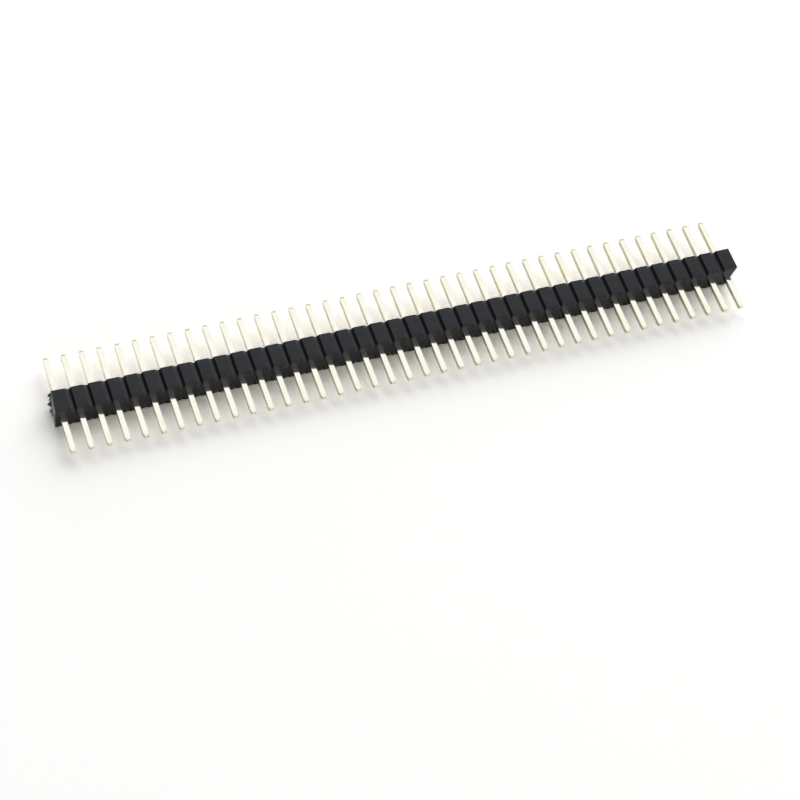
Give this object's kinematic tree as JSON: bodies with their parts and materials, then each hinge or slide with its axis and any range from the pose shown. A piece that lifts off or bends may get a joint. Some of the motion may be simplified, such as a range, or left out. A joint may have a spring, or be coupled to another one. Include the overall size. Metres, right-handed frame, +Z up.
{
  "type": "pin header strip",
  "caption": "Straight single-row breakaway pin header strip: a grooved black insulator with square gold-flashed contacts pressed through it, one end torn off.",
  "frame": {"origin": "under the middle of the strip's own box, on the surface that it lies on", "axes": "+X along the row towards the snapped end, +Y along the contacts from the board side to the mating side, +Z up from the side that the strip lies on"},
  "size_m": [0.051, 0.008, 0.0019],
  "materials": {
    "insulator": "semi-matt moulded black glass-filled plastic",
    "contact": "bright, thinly gold-flashed square wire"
  },
  "bodies": {
    "root": {"housing": "insulator", "pin_01": "contact", "pin_02": "contact", "pin_03": "contact", "pin_04": "contact", "pin_05": "contact", "pin_06": "contact", "pin_07": "contact", "pin_08": "contact", "pin_09": "contact", "pin_10": "contact", "pin_11": "contact", "pin_12": "contact", "pin_13": "contact", "pin_14": "contact", "pin_15": "contact", "pin_16": "contact", "pin_17": "contact", "pin_18": "contact", "pin_19": "contact", "pin_20": "contact", "pin_21": "contact", "pin_22": "contact", "pin_23": "contact", "pin_24": "contact", "pin_25": "contact", "pin_26": "contact", "pin_27": "contact", "pin_28": "contact", "pin_29": "contact", "pin_30": "contact", "pin_31": "contact", "pin_32": "contact", "pin_33": "contact", "pin_34": "contact", "pin_35": "contact", "pin_36": "contact", "pin_37": "contact", "pin_38": "contact", "pin_39": "contact", "pin_40": "contact"}
  },
  "joints": []
}
